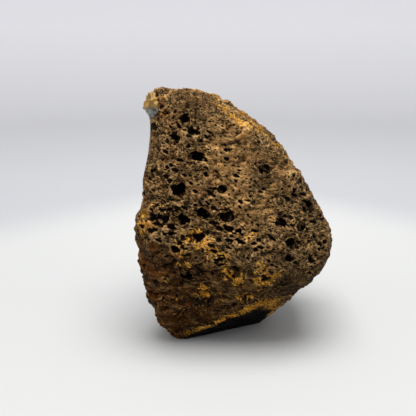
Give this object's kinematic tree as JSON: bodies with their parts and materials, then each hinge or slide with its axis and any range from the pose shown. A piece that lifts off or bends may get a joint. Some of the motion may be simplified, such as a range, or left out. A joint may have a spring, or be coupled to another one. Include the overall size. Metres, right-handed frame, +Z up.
{
  "type": "amethyst geode",
  "caption": "Broken piece of a geode: a pitted, weathered basalt stone on a flat base, with a leaning hollow lined with grey agate and a crust of purple crystal points.",
  "frame": {"origin": "middle of the underside of the whole stone's box, on the surface it stands on", "axes": "+Z is up; the crystal hollow opens towards -Y; the weathered back looks towards +Y; +X is the side with the largest gas holes"},
  "size_m": [0.1264, 0.1112, 0.1504],
  "materials": {
    "basalt": "weathered, pitted, matt",
    "agate": "smooth, waxy",
    "amethyst": "clear purple crystal"
  },
  "bodies": {
    "root": {"basalt_rind": "basalt", "agate_lining": "agate", "amethyst_crust": "amethyst"}
  },
  "joints": []
}
